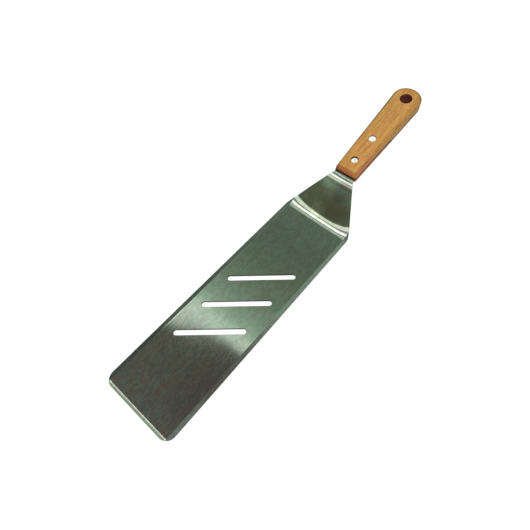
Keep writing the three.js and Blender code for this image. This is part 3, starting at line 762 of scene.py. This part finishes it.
def steel_material():
    m, n, b, co = material("brushed_stainless")
    x, y, z = n.split(co)
    X, Y, Z = (n.math("MULTIPLY", v, 1000.0) for v in (x, y, z))
    along = lambda kx, ky, kz: n.vec(n.math("MULTIPLY", X, kx), n.math("MULTIPLY", Y, ky), n.math("MULTIPLY", Z, kz))
    # brushing: fine lines that run along the sheet
    fine = n.noise(along(0.010, 5.0, 0.05), 1.0, 4.0, 0.65)
    coarse = n.noise(along(0.015, 0.9, 0.02), 1.0, 3.0, 0.6)
    scratch = n.smooth(n.noise(along(0.05, 9.0, 0.05), 1.0, 2.0, 0.5), 0.66, 0.74)
    # handling: slow clouds of brownish and greenish tone, and small mottles
    cloud = n.noise(along(0.045, 0.09, 0.05), 1.0, 3.0, 0.55)
    mottle = n.noise(along(0.16, 0.28, 0.16), 1.0, 3.0, 0.6)
    speck = n.noise(along(0.35, 0.9, 0.35), 1.0, 2.0, 0.6)
    tone = n.math("MULTIPLY", n.linear(fine, 0.25, 0.75, 0.92, 1.07), n.linear(coarse, 0.25, 0.75, 0.94, 1.055))
    tone = n.math("MULTIPLY", tone, n.linear(speck, 0.25, 0.75, 0.88, 1.11))
    tone = n.math("MULTIPLY", tone, n.linear(mottle, 0.25, 0.75, 0.86, 1.14))
    tint = n.mix(n.linear(cloud, 0.36, 0.64), (0.650, 0.606, 0.602), (0.578, 0.638, 0.616))
    tint = n.mix(n.linear(mottle, 0.35, 0.65, 0.0, 0.75), tint, n.mix(n.linear(speck, 0.38, 0.62), (0.668, 0.598, 0.588), (0.570, 0.640, 0.620)))
    # painted reflections on the neck: a browner lower half, a dark patch on its -Y side, a paler blue green patch near
    # its +Y edge and a lighter patch by the first bend
    blob = lambda cx, cy, rx, ry: n.smooth(n.math("ADD", n.math("POWER", n.math("DIVIDE", n.math("SUBTRACT", X, cx), rx), 2.0),
                                                  n.math("POWER", n.math("DIVIDE", n.math("SUBTRACT", Y, cy), ry), 2.0)), 1.0, 0.0)
    wobble = n.linear(mottle, 0.3, 0.7, 0.55, 1.0)
    nx0 = V1[0] + X0
    tint = n.mix(n.math("MULTIPLY", blob(nx0 + 13.5, -9.0, 12.0, 22.0), wobble), tint, n.mix(1.0, tint, (0.74, 0.60, 0.58), "MULTIPLY"))
    tint = n.mix(n.math("MULTIPLY", blob(nx0 + 27.3, 12.5, 4.6, 9.0), wobble), tint, n.mix(1.0, tint, (1.36, 1.50, 1.62), "MULTIPLY"))
    tint = n.mix(n.math("MULTIPLY", blob(nx0 + 27.0, -8.5, 11.0, 13.0), wobble), tint, n.mix(1.0, tint, (0.44, 0.42, 0.44), "MULTIPLY"))
    tint = n.mix(n.math("MULTIPLY", blob(nx0 + 7.0, 5.0, 9.0, 9.0), wobble), tint, n.mix(1.0, tint, (1.42, 1.44, 1.42), "MULTIPLY"))
    # the front third is the most handled: browner and bluer patches by turns
    front = n.smooth(X, X0 + 96.0, X0 + 52.0)
    hue = n.noise(along(0.20, 0.42, 0.2), 1.0, 3.0, 0.65)
    tint = n.mix(front, tint, n.mix(1.0, tint, n.mix(n.linear(hue, 0.36, 0.64), (1.10, 0.965, 0.95), (0.915, 1.035, 1.04)), "MULTIPLY"))
    tone = n.math("MULTIPLY", tone, n.linear(n.math("MULTIPLY", n.math("SUBTRACT", speck, 0.5), front), -0.25, 0.25, 0.90, 1.10))
    # painted shade darkens the cut walls of the slots, most at the +Y ends
    nz = n.math("ABSOLUTE", n.split(n.new("ShaderNodeTexCoord").outputs["Normal"])[2])
    wall = n.math("MULTIPLY", n.smooth(nz, 0.95, 0.60), n.math("MULTIPLY", n.smooth(n.math("ABSOLUTE", Y), 33.5, 32.5),
                                                               n.math("MULTIPLY", n.smooth(X, X0 + 40.0, X0 + 42.0), n.smooth(X, X0 + 200.0, X0 + 198.0))))
    tone = n.math("MULTIPLY", tone, n.math("SUBTRACT", 1.0, n.math("MULTIPLY", wall, n.linear(Y, 12.0, 24.0, 0.64, 0.88))))
    # painted shade along each slot's side away from the front edge, standing in for a rolled-over edge from the punch
    # that is not modelled
    su, sv, pitch = math.cos(SLOT_A), math.sin(SLOT_A), (SLOT_X[2] - SLOT_X[0]) / 2
    Xs = n.math("SUBTRACT", X, X0 + SLOT_X[1])
    across = n.math("ADD", n.math("MULTIPLY", Xs, -sv), n.math("MULTIPLY", Y, su))
    k = n.math("MAXIMUM", n.math("MINIMUM", n.math("ROUND", n.math("DIVIDE", across, -sv * pitch)), 1.0), -1.0)
    across = n.math("SUBTRACT", across, n.math("MULTIPLY", k, -sv * pitch))
    run = n.math("ADD", n.math("MULTIPLY", n.math("SUBTRACT", Xs, n.math("MULTIPLY", k, pitch)), su), n.math("MULTIPLY", Y, sv))
    past = n.math("MAXIMUM", n.math("SUBTRACT", n.math("ABSOLUTE", run), (SLOT_L - SLOT_W) / 2), 0.0)
    gap = n.math("SUBTRACT", n.math("SQRT", n.math("ADD", n.math("MULTIPLY", past, past), n.math("MULTIPLY", across, across))), SLOT_W / 2)
    roll = n.math("MULTIPLY", n.smooth(gap, 0.75, 0.30), n.math("MAXIMUM", n.smooth(across, 0.9, 2.2), n.smooth(run, -28.0, -30.5)))
    tone = n.math("MULTIPLY", tone, n.math("SUBTRACT", 1.0, n.math("MULTIPLY", roll, 0.42)))
    # painted shade along the line where the sheet enters the wood
    seam_shade = n.smooth(X, (V2[0] + X0) + 4.05 * math.cos(TH2), (V2[0] + X0) + 4.95 * math.cos(TH2), 1.0, 0.08)
    b.inputs["Metallic"].default_value = 1.0
    n.put(b.inputs["Base Color"], n.scale_colour(tint, n.math("MULTIPLY", tone, seam_shade)))
    rough = n.math("ADD", n.linear(coarse, 0.3, 0.7, 0.085, 0.115), n.math("MULTIPLY", scratch, 0.05))
    n.put(b.inputs["Roughness"], rough)
    b.inputs["Anisotropic"].default_value = 0.86
    n.put(b.inputs["Tangent"], n.vec(0.0, 1.0, 0.0))
    bump = n.new("ShaderNodeBump")
    bump.inputs["Strength"].default_value = 0.30
    bump.inputs["Distance"].default_value = 0.000006
    n.put(bump.inputs["Height"], n.math("ADD", fine, n.math("MULTIPLY", scratch, -0.6)))
    n.put(b.inputs["Normal"], bump.outputs[0])
    return m


def wood_material():
    m, n, b, co = material("oiled_hardwood")
    x, y, z = n.split(co)
    S, Y, Z = (n.math("MULTIPLY", v, 1000.0) for v in (x, y, z))
    nrm = n.split(n.new("ShaderNodeTexCoord").outputs["Normal"])
    # the growth rings wander a little along the handle
    wander = n.noise(n.vec(n.math("MULTIPLY", S, 0.018), n.math("MULTIPLY", Y, 0.05), n.math("MULTIPLY", Z, 0.05)), 1.0, 2.0, 0.5)
    off = n.math("MULTIPLY", n.math("SUBTRACT", wander, 0.5), 9.0)
    Yw = n.math("ADD", Y, off)
    figure = n.noise(n.vec(n.math("MULTIPLY", S, 0.030), n.math("MULTIPLY", Yw, 0.42), n.math("MULTIPLY", Z, 0.42)), 1.0, 4.0, 0.62, 0.4)
    streak = n.noise(n.vec(n.math("MULTIPLY", S, 0.050), n.math("MULTIPLY", Yw, 1.5), n.math("MULTIPLY", Z, 1.5)), 1.0, 3.0, 0.6, 0.2)
    fibre = n.noise(n.vec(n.math("MULTIPLY", S, 0.16), n.math("MULTIPLY", Yw, 5.5), n.math("MULTIPLY", Z, 5.5)), 1.0, 3.0, 0.65)
    pore = n.noise(n.vec(n.math("MULTIPLY", S, 0.32), n.math("MULTIPLY", Yw, 4.2), n.math("MULTIPLY", Z, 4.2)), 1.0, 1.0, 0.4)
    pore = n.smooth(pore, 0.64, 0.72)
    base = n.ramp(figure, [(0.25, lin(160, 94, 44)), (0.42, lin(184, 122, 61)), (0.55, lin(193, 134, 71)), (0.75, lin(206, 153, 87))])
    # long streaks, paler and darker, that follow the growth rings
    bands = n.ramp(n.linear(Yw, -14.0, 14.0), [((v + 14) / 28, c) for v, c in (
        (-12, (0.64, 0.66, 0.62)), (-9.6, (0.64, 0.67, 0.62)), (-8, (0.72, 0.78, 0.74)), (-6.5, (0.76, 0.92, 0.88)), (-4, (0.78, 0.93, 0.90)),
        (-2, (0.74, 0.82, 0.79)), (0, (0.71, 0.76, 0.73)), (2, (0.70, 0.76, 0.74)), (5, (0.73, 0.85, 0.79)), (9, (0.69, 0.83, 0.75)), (12, (0.66, 0.80, 0.74)))])
    base = n.scale_colour(n.mix(1.0, base, bands, "MULTIPLY"), 1.25)
    # from orange brown at the front to yellower brown at the end
    warm = n.linear(S, 5, 95, 1.0, 0.0)
    patch = n.noise(n.vec(n.math("MULTIPLY", S, 0.045), n.math("MULTIPLY", Y, 0.10), Z), 1.0, 2.0, 0.5)
    warm = n.math("MULTIPLY", warm, n.linear(patch, 0.3, 0.7, 0.45, 1.0))
    base = n.mix(n.math("MULTIPLY", warm, 0.55), base, n.mix(1.0, base, (1.32, 0.93, 0.90), "MULTIPLY"))
    base = n.mix(n.linear(streak, 0.44, 0.68, 0.0, 0.78), base, lin(146, 78, 40))
    base = n.mix(n.linear(fibre, 0.32, 0.68, 0.0, 0.62), base, lin(212, 166, 98))
    hue = n.noise(n.vec(n.math("MULTIPLY", S, 0.13), n.math("MULTIPLY", Yw, 0.95), n.math("MULTIPLY", Z, 0.95)), 1.3, 2.0, 0.6)
    base = n.mix(1.0, base, n.mix(n.linear(hue, 0.32, 0.68), (0.93, 1.06, 0.98), (1.07, 0.91, 0.93)), "MULTIPLY")
    dash = n.noise(n.vec(n.math("MULTIPLY", S, 0.075), n.math("MULTIPLY", Yw, 0.78), n.math("MULTIPLY", Z, 0.78)), 1.0, 2.0, 0.55)
    base = n.scale_colour(base, n.linear(dash, 0.30, 0.70, 0.82, 1.13))
    base = n.mix(n.math("MULTIPLY", pore, 0.62), base, lin(106, 58, 28))
    # end grain of the leaning front faces drinks more oil and goes red brown
    ends = n.smooth(n.math("MULTIPLY", nrm[0], -1.0), 0.55, 0.85)
    above = n.math("ABSOLUTE", n.math("SUBTRACT", Z, MID))
    # painted shade: the front faces darken towards the tang they meet
    tang_shade = n.ramp(n.linear(above, 0.0, 7.1), [(0.10, 0.24), (0.17, 0.56), (0.27, 0.68), (0.38, 0.80), (0.52, 0.98), (1.0, 1.0)])
    endgrain = n.mix(n.linear(streak, 0.3, 0.7), lin(206, 118, 70), lin(236, 152, 92))
    endgrain = n.mix(n.smooth(Y, -2.0, -9.0, 0.0, 0.6), endgrain, lin(226, 158, 92))
    # painted shade: below Z 1.2 to 4.6 the front faces go darker and redder, towards the tang
    endgrain = n.mix(n.smooth(Z, 4.6, 1.2), endgrain, n.mix(1.0, endgrain, (0.92, 0.72, 0.98), "MULTIPLY"))
    ring_line = n.noise(n.vec(2.0, n.math("MULTIPLY", Y, 0.85), n.math("MULTIPLY", Z, 0.10)), 1.0, 2.0, 0.6)
    endgrain = n.mix(n.linear(ring_line, 0.48, 0.66, 0.0, 0.55), endgrain, n.mix(1.0, endgrain, (0.62, 0.56, 0.56), "MULTIPLY"))
    endgrain = n.mix(n.smooth(Y, 7.6, 10.2, 0.0, 0.9), endgrain, n.mix(1.0, endgrain, (0.60, 0.46, 0.52), "MULTIPLY"))
    endgrain = n.mix(1.0, endgrain, tang_shade, "MULTIPLY")
    base = n.mix(n.math("MULTIPLY", ends, 0.9), base, endgrain)
    # painted light on the sides: floor bounce and a pale sheen make them paler and bluer, most of all low down and near
    # the front
    side = n.smooth(n.math("ABSOLUTE", nrm[1]), 0.35, 0.85)
    low = n.mix(n.linear(S, 12, 62), (1.26, 1.26, 2.35), (0.80, 0.97, 1.62))
    high = n.mix(n.linear(S, 12, 62), (1.12, 1.02, 1.6), (0.99, 1.06, 1.30))
    base = n.mix(side, base, n.mix(1.0, base, n.mix(n.smooth(Z, -2.5, 2.5), low, high), "MULTIPLY"))
    # painted shade on the rounded edges that face +Y and the end, stronger towards the end
    lean = n.math("MAXIMUM", nrm[1], n.math("MULTIPLY", nrm[0], 0.95))
    rim = n.math("MULTIPLY", n.smooth(lean, 0.02, 0.55), n.linear(S, 10, 85, 0.66, 0.95))
    base = n.mix(rim, base, n.mix(1.0, base, (0.50, 0.54, 0.62), "MULTIPLY"))
    # painted shade: a darker rim round the end from s = 55 on
    tip = n.math("MULTIPLY", n.math("MULTIPLY", n.smooth(lean, 0.04, 0.36), n.smooth(nrm[2], 0.12, 0.45)), n.linear(S, 55, 98))
    base = n.mix(tip, base, n.mix(1.0, base, (0.70, 0.75, 0.92), "MULTIPLY"))
    # painted shade beyond the hang hole
    base = n.mix(n.smooth(S, HANG_S + 2.0, HANG_S + 11.0), base, n.mix(1.0, base, (0.86, 0.82, 0.74), "MULTIPLY"))
    # painted shade on the upper rounded edge of the -Y side
    shoulder = n.math("MULTIPLY", n.smooth(nrm[1], -0.06, -0.50), n.smooth(nrm[2], 0.02, 0.35))
    base = n.mix(shoulder, base, n.mix(1.0, base, (0.86, 0.88, 0.80), "MULTIPLY"))
    # painted shade: the -Y side darker and redder towards the front
    front_side_shade = n.math("MULTIPLY", n.math("MULTIPLY", n.smooth(nrm[1], -0.12, -0.50), n.linear(S, 42, 20)), n.smooth(nrm[2], -0.02, 0.20, 0.25, 1.0))
    base = n.mix(front_side_shade, base, n.mix(1.0, base, (0.92, 0.76, 0.92), "MULTIPLY"))
    # painted shade on the lower edges of the sides, stronger towards the end
    below = n.smooth(n.math("SUBTRACT", Z, n.linear(S, 42, 60, 0.0, 1.9)), MID - 2.4, MID - 4.8)
    below = n.math("MULTIPLY", n.math("MULTIPLY", below, n.linear(S, 34, 58, 0.15, 0.92)), n.smooth(nrm[2], -0.80, -0.45))
    base = n.mix(below, base, n.mix(1.0, base, (0.48, 0.48, 0.50), "MULTIPLY"))
    # painted shade: the hang hole's wall is coloured dark maroon, lighter part way down and darker again near the
    # bottom
    dx = n.math("SUBTRACT", S, HANG_S)
    rr = n.math("SQRT", n.math("ADD", n.math("MULTIPLY", dx, dx), n.math("MULTIPLY", Y, Y)))
    hole = n.smooth(rr, HANG_R + 0.12, HANG_R + 0.32, 1.0, 0.0)
    wall = n.mix(n.linear(n.noise(n.vec(S, Y, Z), 1.6, 2.0, 0.6), 0.35, 0.65), lin(92, 38, 34), lin(134, 66, 58))
    wall = n.scale_colour(wall, n.math("MULTIPLY", n.smooth(Z, 2.0, -1.4, 1.0, 1.3), n.smooth(Z, -2.8, -4.8, 1.0, 0.3)))
    base = n.mix(hole, base, wall)
    # painted shade in the sunk seats of the rivets
    deep = n.smooth(Z, TOP - 0.10, TOP - 0.24)
    for s0, _, _ in RIVETS:
        ds = n.math("SUBTRACT", S, s0)
        seat_shade = n.smooth(n.math("SQRT", n.math("ADD", n.math("MULTIPLY", ds, ds), n.math("MULTIPLY", Y, Y))), CB_R + 0.1, CB_R + 0.3, 1.0, 0.0)
        base = n.mix(n.math("MULTIPLY", seat_shade, deep), base, lin(52, 34, 20))
    # painted shade: a dark line where the wood meets the steel, and inside the saw cut
    cut = n.smooth(n.math("ABSOLUTE", n.math("SUBTRACT", Z, MID)), 1.15, 1.9, 1.0, 0.0)
    mouth = n.smooth(S, 6.6, 7.4, 1.0, 0.0)
    half = T / 2 + (SAW_GAP + SAW_LOW) / 2
    inner = n.smooth(n.math("ABSOLUTE", n.math("ADD", n.math("SUBTRACT", Z, MID), (SAW_LOW - SAW_GAP) / 2)), half - 0.02, half + 0.05, 1.0, 0.0)
    inner = n.math("MULTIPLY", inner, n.smooth(S, SAW_END + 0.2, SAW_END + 0.6, 1.0, 0.0))
    joint_shade = n.math("MULTIPLY", n.math("MAXIMUM", n.math("MULTIPLY", cut, mouth), inner), n.math("SUBTRACT", 1.0, n.math("MULTIPLY", hole, 0.7)))
    base = n.mix(n.math("MULTIPLY", joint_shade, 0.88), base, lin(44, 30, 20))
    n.put(b.inputs["Base Color"], base)
    n.put(b.inputs["Roughness"], n.math("ADD", n.linear(fibre, 0.3, 0.7, 0.50, 0.40), n.math("MULTIPLY", pore, 0.25)))
    b.inputs["Specular IOR Level"].default_value = 0.35
    bump = n.new("ShaderNodeBump")
    bump.inputs["Strength"].default_value = 0.5
    bump.inputs["Distance"].default_value = 0.00006
    height = n.math("ADD", n.math("MULTIPLY", fibre, 0.7), n.math("MULTIPLY", streak, 0.4))
    n.put(bump.inputs["Height"], n.math("SUBTRACT", height, n.math("MULTIPLY", pore, 0.9)))
    n.put(b.inputs["Normal"], bump.outputs[0])
    return m


def rivet_material():
    m, n, b, co = material("bright_rivet")
    x, y, z = n.split(co)
    S, Y, Z = (n.math("MULTIPLY", v, 1000.0) for v in (x, y, z))
    fine = n.noise(n.vec(S, Y, Z), 3.0, 4.0, 0.6)
    nick = n.smooth(n.noise(n.vec(n.math("MULTIPLY", S, 6.0), n.math("MULTIPLY", Y, 0.8), Z), 1.0, 2.0, 0.5), 0.62, 0.74)
    tone = n.math("SUBTRACT", n.linear(fine, 0.3, 0.7, 0.94, 0.985), n.math("MULTIPLY", nick, 0.08))
    # painted reflection: the crowns greyer and bluer, the rims whiter
    near_axis = [n.math("SQRT", n.math("ADD", n.math("POWER", n.math("SUBTRACT", S, s0), 2.0), n.math("POWER", Y, 2.0))) for s0, _, _ in RIVETS]
    crown = n.smooth(n.math("MINIMUM", *near_axis), 0.6, 2.3)
    n.put(b.inputs["Base Color"], n.scale_colour(n.mix(crown, (0.80, 0.87, 0.89), (1.0, 0.995, 0.97)), tone))
    b.inputs["Metallic"].default_value = 0.08
    n.put(b.inputs["Roughness"], n.linear(fine, 0.3, 0.7, 0.34, 0.46))
    bump = n.new("ShaderNodeBump")
    bump.inputs["Strength"].default_value = 0.25
    bump.inputs["Distance"].default_value = 0.00002
    n.put(bump.inputs["Height"], n.math("SUBTRACT", fine, n.math("MULTIPLY", nick, 0.6)))
    n.put(b.inputs["Normal"], bump.outputs[0])
    return m


# ------------------------------------------------------------------ build
blade = make_blade()
handle = make_handle()
rivets = make_rivets()

steel, wood, bright = steel_material(), wood_material(), rivet_material()
for o, mat, slot, node in [(blade, steel, "steel", "blade"), (handle, wood, "hardwood", "handle")] + [
        (o, bright, "rivet", node) for o, node in rivets]:
    o.data.materials.clear()
    o.data.materials.append(mat)
    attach(o, "root")
    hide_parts(node)

# ------------------------------------------------------------------ studio
floor_me = bpy.data.meshes.new("floor")
floor_me.from_pydata([(-4, -4, -0.0003), (4, -4, -0.0003), (4, 4, -0.0003), (-4, 4, -0.0003)], [], [(0, 1, 2, 3)])
floor = bpy.data.objects.new("floor", floor_me)
bpy.context.scene.collection.objects.link(floor)
fm = bpy.data.materials.new("pale_floor")
fm.use_nodes = True
fm.node_tree.nodes.clear()
fn = Nodes(fm.node_tree)
fo = fn.new("ShaderNodeOutputMaterial")
glow = fn.new("ShaderNodeEmission")
glow.inputs[0].default_value = (1, 1, 1, 1)
mirror = fn.new("ShaderNodeLightPath").outputs["Is Glossy Ray"]
dif = fn.new("ShaderNodeBsdfDiffuse")
fn.put(dif.inputs[0], fn.mix(mirror, (0.10, 0.10, 0.10), (0.02, 0.02, 0.02)))
ray = fn.new("ShaderNodeLightPath").outputs["Is Camera Ray"]
fn.put(glow.inputs[1], fn.math("SUBTRACT", fn.linear(ray, 0.0, 1.0, 0.80, 0.97), fn.math("MULTIPLY", mirror, 0.78)))
both = fn.new("ShaderNodeAddShader")
fm.node_tree.links.new(glow.outputs[0], both.inputs[0])
fm.node_tree.links.new(dif.outputs[0], both.inputs[1])
fm.node_tree.links.new(both.outputs[0], fo.inputs[0])
floor_me.materials.append(fm)

# the room the steel mirrors: long soft strips overhead, running across the blade
world = bpy.data.worlds.new("studio")
bpy.context.scene.world = world
world.use_nodes = True
wt = world.node_tree
wt.nodes.clear()
w = Nodes(wt)
direction = w.new("ShaderNodeTexCoord").outputs["Generated"]
rx, ry, rz = w.split(direction)
phi = w.math("ARCTAN2", rx, rz)                                     # from overhead towards +X
rzp = w.math("MAXIMUM", rz, 0.04)
p = w.math("DIVIDE", rx, rzp)
q = w.math("DIVIDE", ry, rzp)
G = 1.0 / 0.615
ang = lambda d: (d + 90.0) / 180.0
fac = w.linear(phi, -math.pi / 2, math.pi / 2)
ROOM = 0.5                                                          # ramps hold half the radiance
def sweep(stops):
    return w.ramp(fac, [(ang(a), lin(*c, k=G * ROOM)) for a, c in stops])


behind = sweep([
    (-90, (88, 94, 84)), (-60, (80, 88, 72)), (-47, (75, 82, 64)), (-44, (76, 84, 66)), (-43, (80, 89, 71)),
    (-42, (89, 102, 82)), (-41, (104, 120, 99)), (-40, (136, 148, 130)), (-39, (172, 184, 160)), (-37.5, (210, 221, 196)),
    (-34, (210, 221, 197)), (-31, (203, 213, 190)), (-29.3, (156, 168, 150)), (-28.5, (100, 114, 100)), (-26.2, (100, 114, 100)),
    (-25.5, (146, 155, 140)), (-24, (196, 204, 186)), (-22.5, (228, 232, 217)), (-20, (253, 255, 243)), (-14, (253, 255, 241)),
    (-12, (218, 224, 208)), (-10.5, (128, 138, 122)), (-9.6, (84, 86, 77)), (-8, (78, 80, 71)), (-3, (77, 79, 70)),
    (2, (74, 76, 66)), (20, (74, 77, 66))])
ahead = sweep([
    (-90, (174, 192, 173)), (5, (174, 192, 173)), (9, (177, 194, 177)), (10.6, (174, 192, 173)), (11.8, (140, 163, 141)),
    (12.8, (124, 147, 125)), (15.5, (111, 129, 111)), (18, (96, 112, 93)), (20.6, (90, 106, 87)), (23, (82, 98, 80)),
    (28, (78, 92, 76)), (32, (84, 99, 83)), (36, (86, 99, 83)), (60, (92, 102, 88)), (90, (98, 103, 94))])
low = sweep([
    (-90, (96, 104, 96)), (-30, (104, 112, 104)), (-5, (102, 110, 103)), (-2, (99, 103, 95)), (2, (79, 81, 74)), (5.6, (82, 84, 78)),
    (7.5, (87, 89, 84)), (9.4, (85, 93, 84)), (11.3, (92, 102, 90)), (14, (104, 114, 103)), (16.7, (112, 127, 114)),
    (30, (112, 129, 116)), (36, (113, 131, 118)), (90, (104, 116, 104))])
high = sweep([
    (-90, (70, 78, 70)), (-20, (64, 72, 68)), (-3, (60, 69, 62)), (2.6, (54, 62, 57)), (8, (60, 73, 62)), (13, (62, 75, 63)),
    (19.8, (59, 73, 62)), (23.4, (70, 82, 74)), (28, (76, 89, 78)), (34, (78, 91, 81)), (42.6, (90, 102, 91)), (90, (96, 104, 94))])
bow = w.math("MINIMUM", w.math("MAXIMUM", w.math("SUBTRACT", q, 0.27), 0.0), 0.2)
edge = w.math("SUBTRACT", 0.157, w.math("MULTIPLY", w.math("MULTIPLY", bow, bow), 1.75))
lit = w.smooth(w.math("SUBTRACT", p, edge), -0.009, 0.009)
across = w.ramp(w.linear(w.math("ARCTAN2", ry, rz), -math.pi / 2, math.pi / 2), [
    (ang(-90), 0.40), (ang(-8), 0.62), (ang(0), 0.66), (ang(6), 0.58), (ang(10), 0.50), (ang(27), 0.50), (ang(31), 0.66),
    (ang(36), 0.88), (ang(42), 0.92), (ang(47), 0.7), (ang(90), 0.40)])
sep = w.new("ShaderNodeSeparateColor")
wt.links.new(across, sep.inputs[0])
gain = w.math("MULTIPLY", w.math("SUBTRACT", sep.outputs[0], 0.5), w.smooth(phi, math.radians(23), math.radians(34), 1.0, 0.35))
spark = w.math("MULTIPLY", w.smooth(q, 0.13, 0.03), w.smooth(phi, math.radians(12.6), math.radians(11.2), 0.0, 0.34))
ahead = w.scale_colour(ahead, w.math("MULTIPLY", w.math("ADD", gain, 0.5), w.math("ADD", spark, 2.0)))
dusk = w.math("MULTIPLY", w.smooth(phi, math.radians(-8), math.radians(-2)), w.smooth(q, 0.37, 0.30))
behind = w.mix(dusk, behind, w.mix(1.0, behind, (0.80, 0.76, 0.78), "MULTIPLY"))
behind = w.mix(w.smooth(q, 0.30, 0.17), behind, w.mix(1.0, behind, (1.08, 0.98, 1.08), "MULTIPLY"))
room = w.mix(lit, behind, ahead)
room = w.mix(w.smooth(q, -0.06, -0.24), room, low)
room = w.mix(w.smooth(q, 0.92, 1.16), room, high)
room = w.scale_colour(room, 1.0 / ROOM)
seen = w.new("ShaderNodeBackground")
seen.inputs[0].default_value = (1, 1, 1, 1)
seen.inputs[1].default_value = 1.0
lightb = w.new("ShaderNodeBackground")
wt.links.new(room, lightb.inputs[0])
lightb.inputs[1].default_value = 1.0
mixw = w.new("ShaderNodeMixShader")
wt.links.new(w.new("ShaderNodeLightPath").outputs["Is Camera Ray"], mixw.inputs[0])
wt.links.new(lightb.outputs[0], mixw.inputs[1])
wt.links.new(seen.outputs[0], mixw.inputs[2])
wt.links.new(mixw.outputs[0], w.new("ShaderNodeOutputWorld").inputs[0])


def area(name, place, aim, size, power, colour=(1, 1, 1), glossy=False):
    d = bpy.data.lights.new(name, "AREA")
    d.shape = "DISK"
    d.size = size
    d.energy = power
    d.color = colour
    o = bpy.data.objects.new(name, d)
    bpy.context.scene.collection.objects.link(o)
    o.location = place
    o.rotation_euler = (Vector(aim) - Vector(place)).to_track_quat("-Z", "Y").to_euler()
    o.visible_glossy = glossy
    o.visible_camera = False
    return o


area("key", (0.65, 0.75, 1.15), (0.1, 0, 0.03), 0.9, 15.5)
area("fill", (-0.8, -0.6, 1.1), (0.1, 0, 0.03), 1.2, 7.5)
area("side", (0.25, -1.15, 0.35), (0.12, 0, 0.03), 0.9, 6.0)

cam_d = bpy.data.cameras.new("view")
cam = bpy.data.objects.new("view", cam_d)
bpy.context.scene.collection.objects.link(cam)
cam_d.sensor_fit = "HORIZONTAL"
cam_d.sensor_width = 36.0
cam_d.lens = 36.0 * 366.7 / 530.0
cam_d.clip_start = 0.01
right = Vector((0.6489, -0.7605, -0.0238))
down = Vector((-0.6713, -0.5575, -0.4885))
ahead_v = Vector((0.3582, 0.3330, -0.8723))
down = (down - right * down.dot(right) / right.dot(right))
rot = Matrix((right.normalized(), -down.normalized(), -ahead_v.normalized())).transposed()
cam.matrix_world = Matrix.Translation(((40.820 + X0) * MM, -109.979 * MM, 305.871 * MM)) @ rot.to_4x4()
bpy.context.scene.camera = cam
bpy.context.scene.view_settings.view_transform = "Standard"
bpy.context.scene.view_settings.look = "None"
bpy.context.scene.view_settings.exposure = 0.0
bpy.context.scene.view_settings.gamma = 1.0
